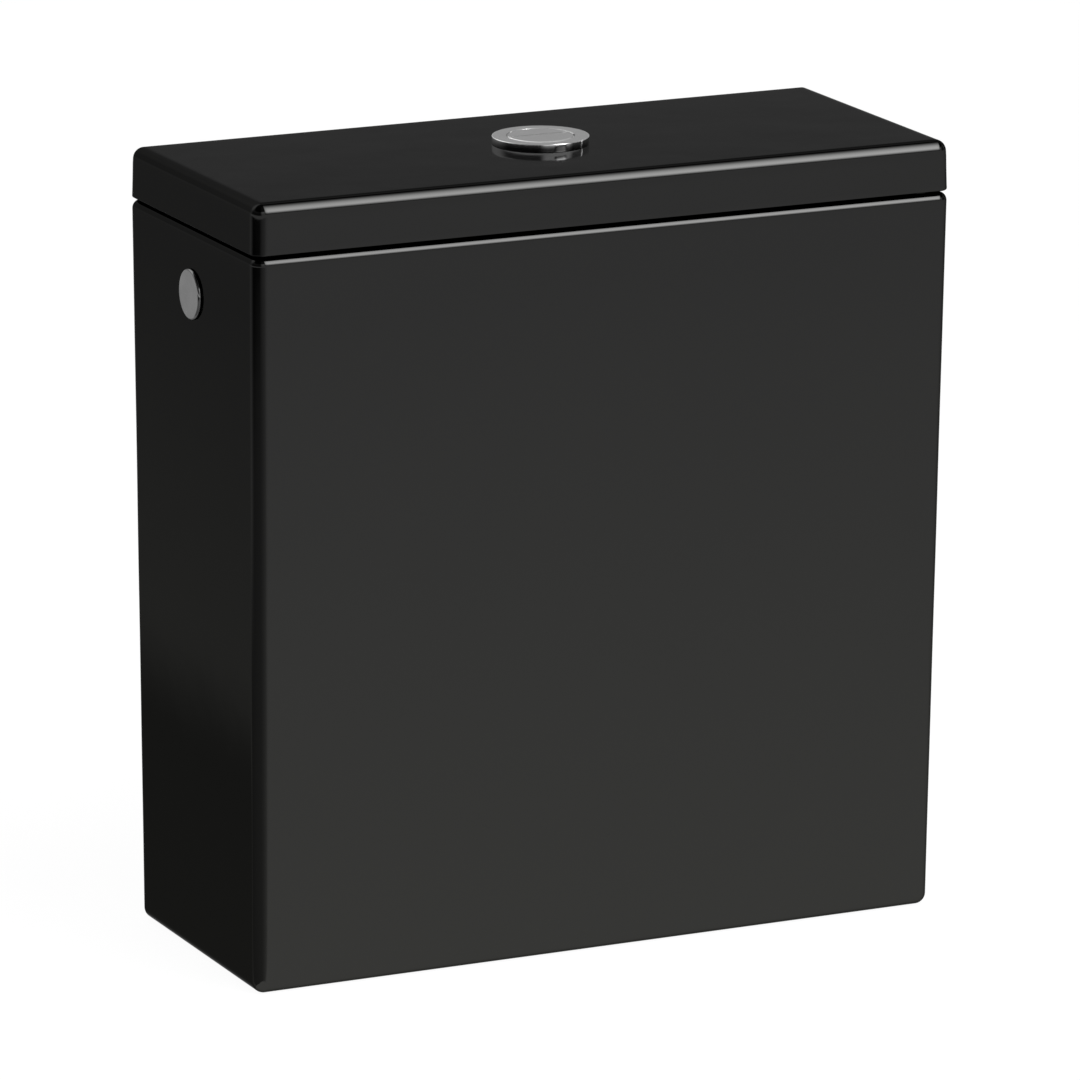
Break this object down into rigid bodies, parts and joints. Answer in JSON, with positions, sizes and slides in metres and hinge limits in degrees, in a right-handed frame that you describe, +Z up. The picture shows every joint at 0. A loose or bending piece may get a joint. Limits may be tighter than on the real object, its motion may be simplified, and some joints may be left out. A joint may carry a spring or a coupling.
{
  "type": "toilet cistern",
  "caption": "Close-coupled ceramic toilet cistern with a lift-off lid, a two-part chrome push button, a rocker-worked flush valve and a side-inlet fill valve.",
  "frame": {"origin": "on the flush outlet's axis, in the plane of the base", "axes": "+Z up, -Y towards the front, +X to the right seen from the front"},
  "size_m": [0.4163, 0.163, 0.4116],
  "materials": {
    "glaze": "glossy black glaze",
    "chrome": "bright chrome plate",
    "rubber": "matt black rubber",
    "white_plastic": "moulded white plastic",
    "blue_plastic": "moulded blue plastic",
    "grey_plastic": "moulded grey plastic",
    "silicone": "satin silicone rubber",
    "fibre": "red fibre",
    "brass": "machined brass",
    "steel": "drawn stainless wire"
  },
  "bodies": {
    "tank": {"tank": "glaze", "lid_buffers": "rubber", "valve_base": "white_plastic", "base_washer": "rubber", "base_nut": "white_plastic", "pan_gasket": "rubber", "valve_cage": "white_plastic", "valve_bridge": "white_plastic", "rocker_pins": "steel", "inlet_tail": "brass", "inlet_washer": "rubber", "inlet_collar": "fibre", "inlet_nut": "brass", "fill_body": "white_plastic", "fill_cap": "blue_plastic", "fill_pipe": "white_plastic", "arm_pin": "steel", "side_cap": "chrome", "cap_washer": "rubber", "cap_nut": "white_plastic"},
    "lid": {"lid": "glaze", "button_bezel": "chrome", "bezel_seal": "rubber", "bezel_nut": "white_plastic", "button_guide": "white_plastic", "full_spring": "steel", "half_spring": "steel"},
    "full_button": {"full_button": "chrome", "full_rod": "grey_plastic"},
    "half_button": {"half_button": "chrome", "half_rod": "grey_plastic"},
    "full_rocker": {"full_rocker": "blue_plastic"},
    "half_rocker": {"half_rocker": "blue_plastic"},
    "flush_plug": {"overflow_tube": "white_plastic", "flush_seal": "silicone", "seal_clip": "white_plastic", "main_float": "white_plastic", "lift_hook": "blue_plastic"},
    "half_float": {"half_float": "blue_plastic"},
    "fill_arm": {"float_arm": "blue_plastic", "arm_screw": "brass", "fill_float": "white_plastic"}
  },
  "joints": [
    {"name": "lid_lift", "type": "slide", "parent": "tank", "child": "lid", "axis": [0, 0, 1], "range_m": [0, 0.15]},
    {"name": "full_press", "type": "slide", "parent": "lid", "child": "full_button", "axis": [0, 0, -1], "range_m": [0, 0.007], "stiffness_N_per_m": 500, "springref_m": -0.006, "deforming": ["full_spring"]},
    {"name": "half_press", "type": "slide", "parent": "lid", "child": "half_button", "axis": [0, 0, -1], "range_m": [0, 0.007], "stiffness_N_per_m": 500, "springref_m": -0.006, "deforming": ["half_spring"]},
    {"name": "full_tilt", "type": "hinge", "parent": "tank", "child": "full_rocker", "pos_m": [0, -0.024, 0.3], "axis": [-1, 0, 0], "range_deg": [0, 26.3]},
    {"name": "half_tilt", "type": "hinge", "parent": "tank", "child": "half_rocker", "pos_m": [0, 0.024, 0.3], "axis": [1, 0, 0], "range_deg": [0, 26.3]},
    {"name": "plug_lift", "type": "slide", "parent": "tank", "child": "flush_plug", "axis": [0, 0, 1], "range_m": [0, 0.01001]},
    {"name": "half_lift", "type": "slide", "parent": "tank", "child": "half_float", "axis": [0, 0, 1], "range_m": [0, 0.01001]},
    {"name": "arm_swing", "type": "hinge", "parent": "tank", "child": "fill_arm", "pos_m": [0.13272, 0, 0.353], "axis": [0, 1, 0], "range_deg": [0, 30]}
  ],
  "couplings": [
    {"joint": "full_tilt", "follows": "full_press", "rad_per_m": 65.495},
    {"joint": "plug_lift", "follows": "full_press", "ratio": 1.4283},
    {"joint": "half_tilt", "follows": "half_press", "rad_per_m": 65.495},
    {"joint": "half_lift", "follows": "half_press", "ratio": 1.4283}
  ]
}
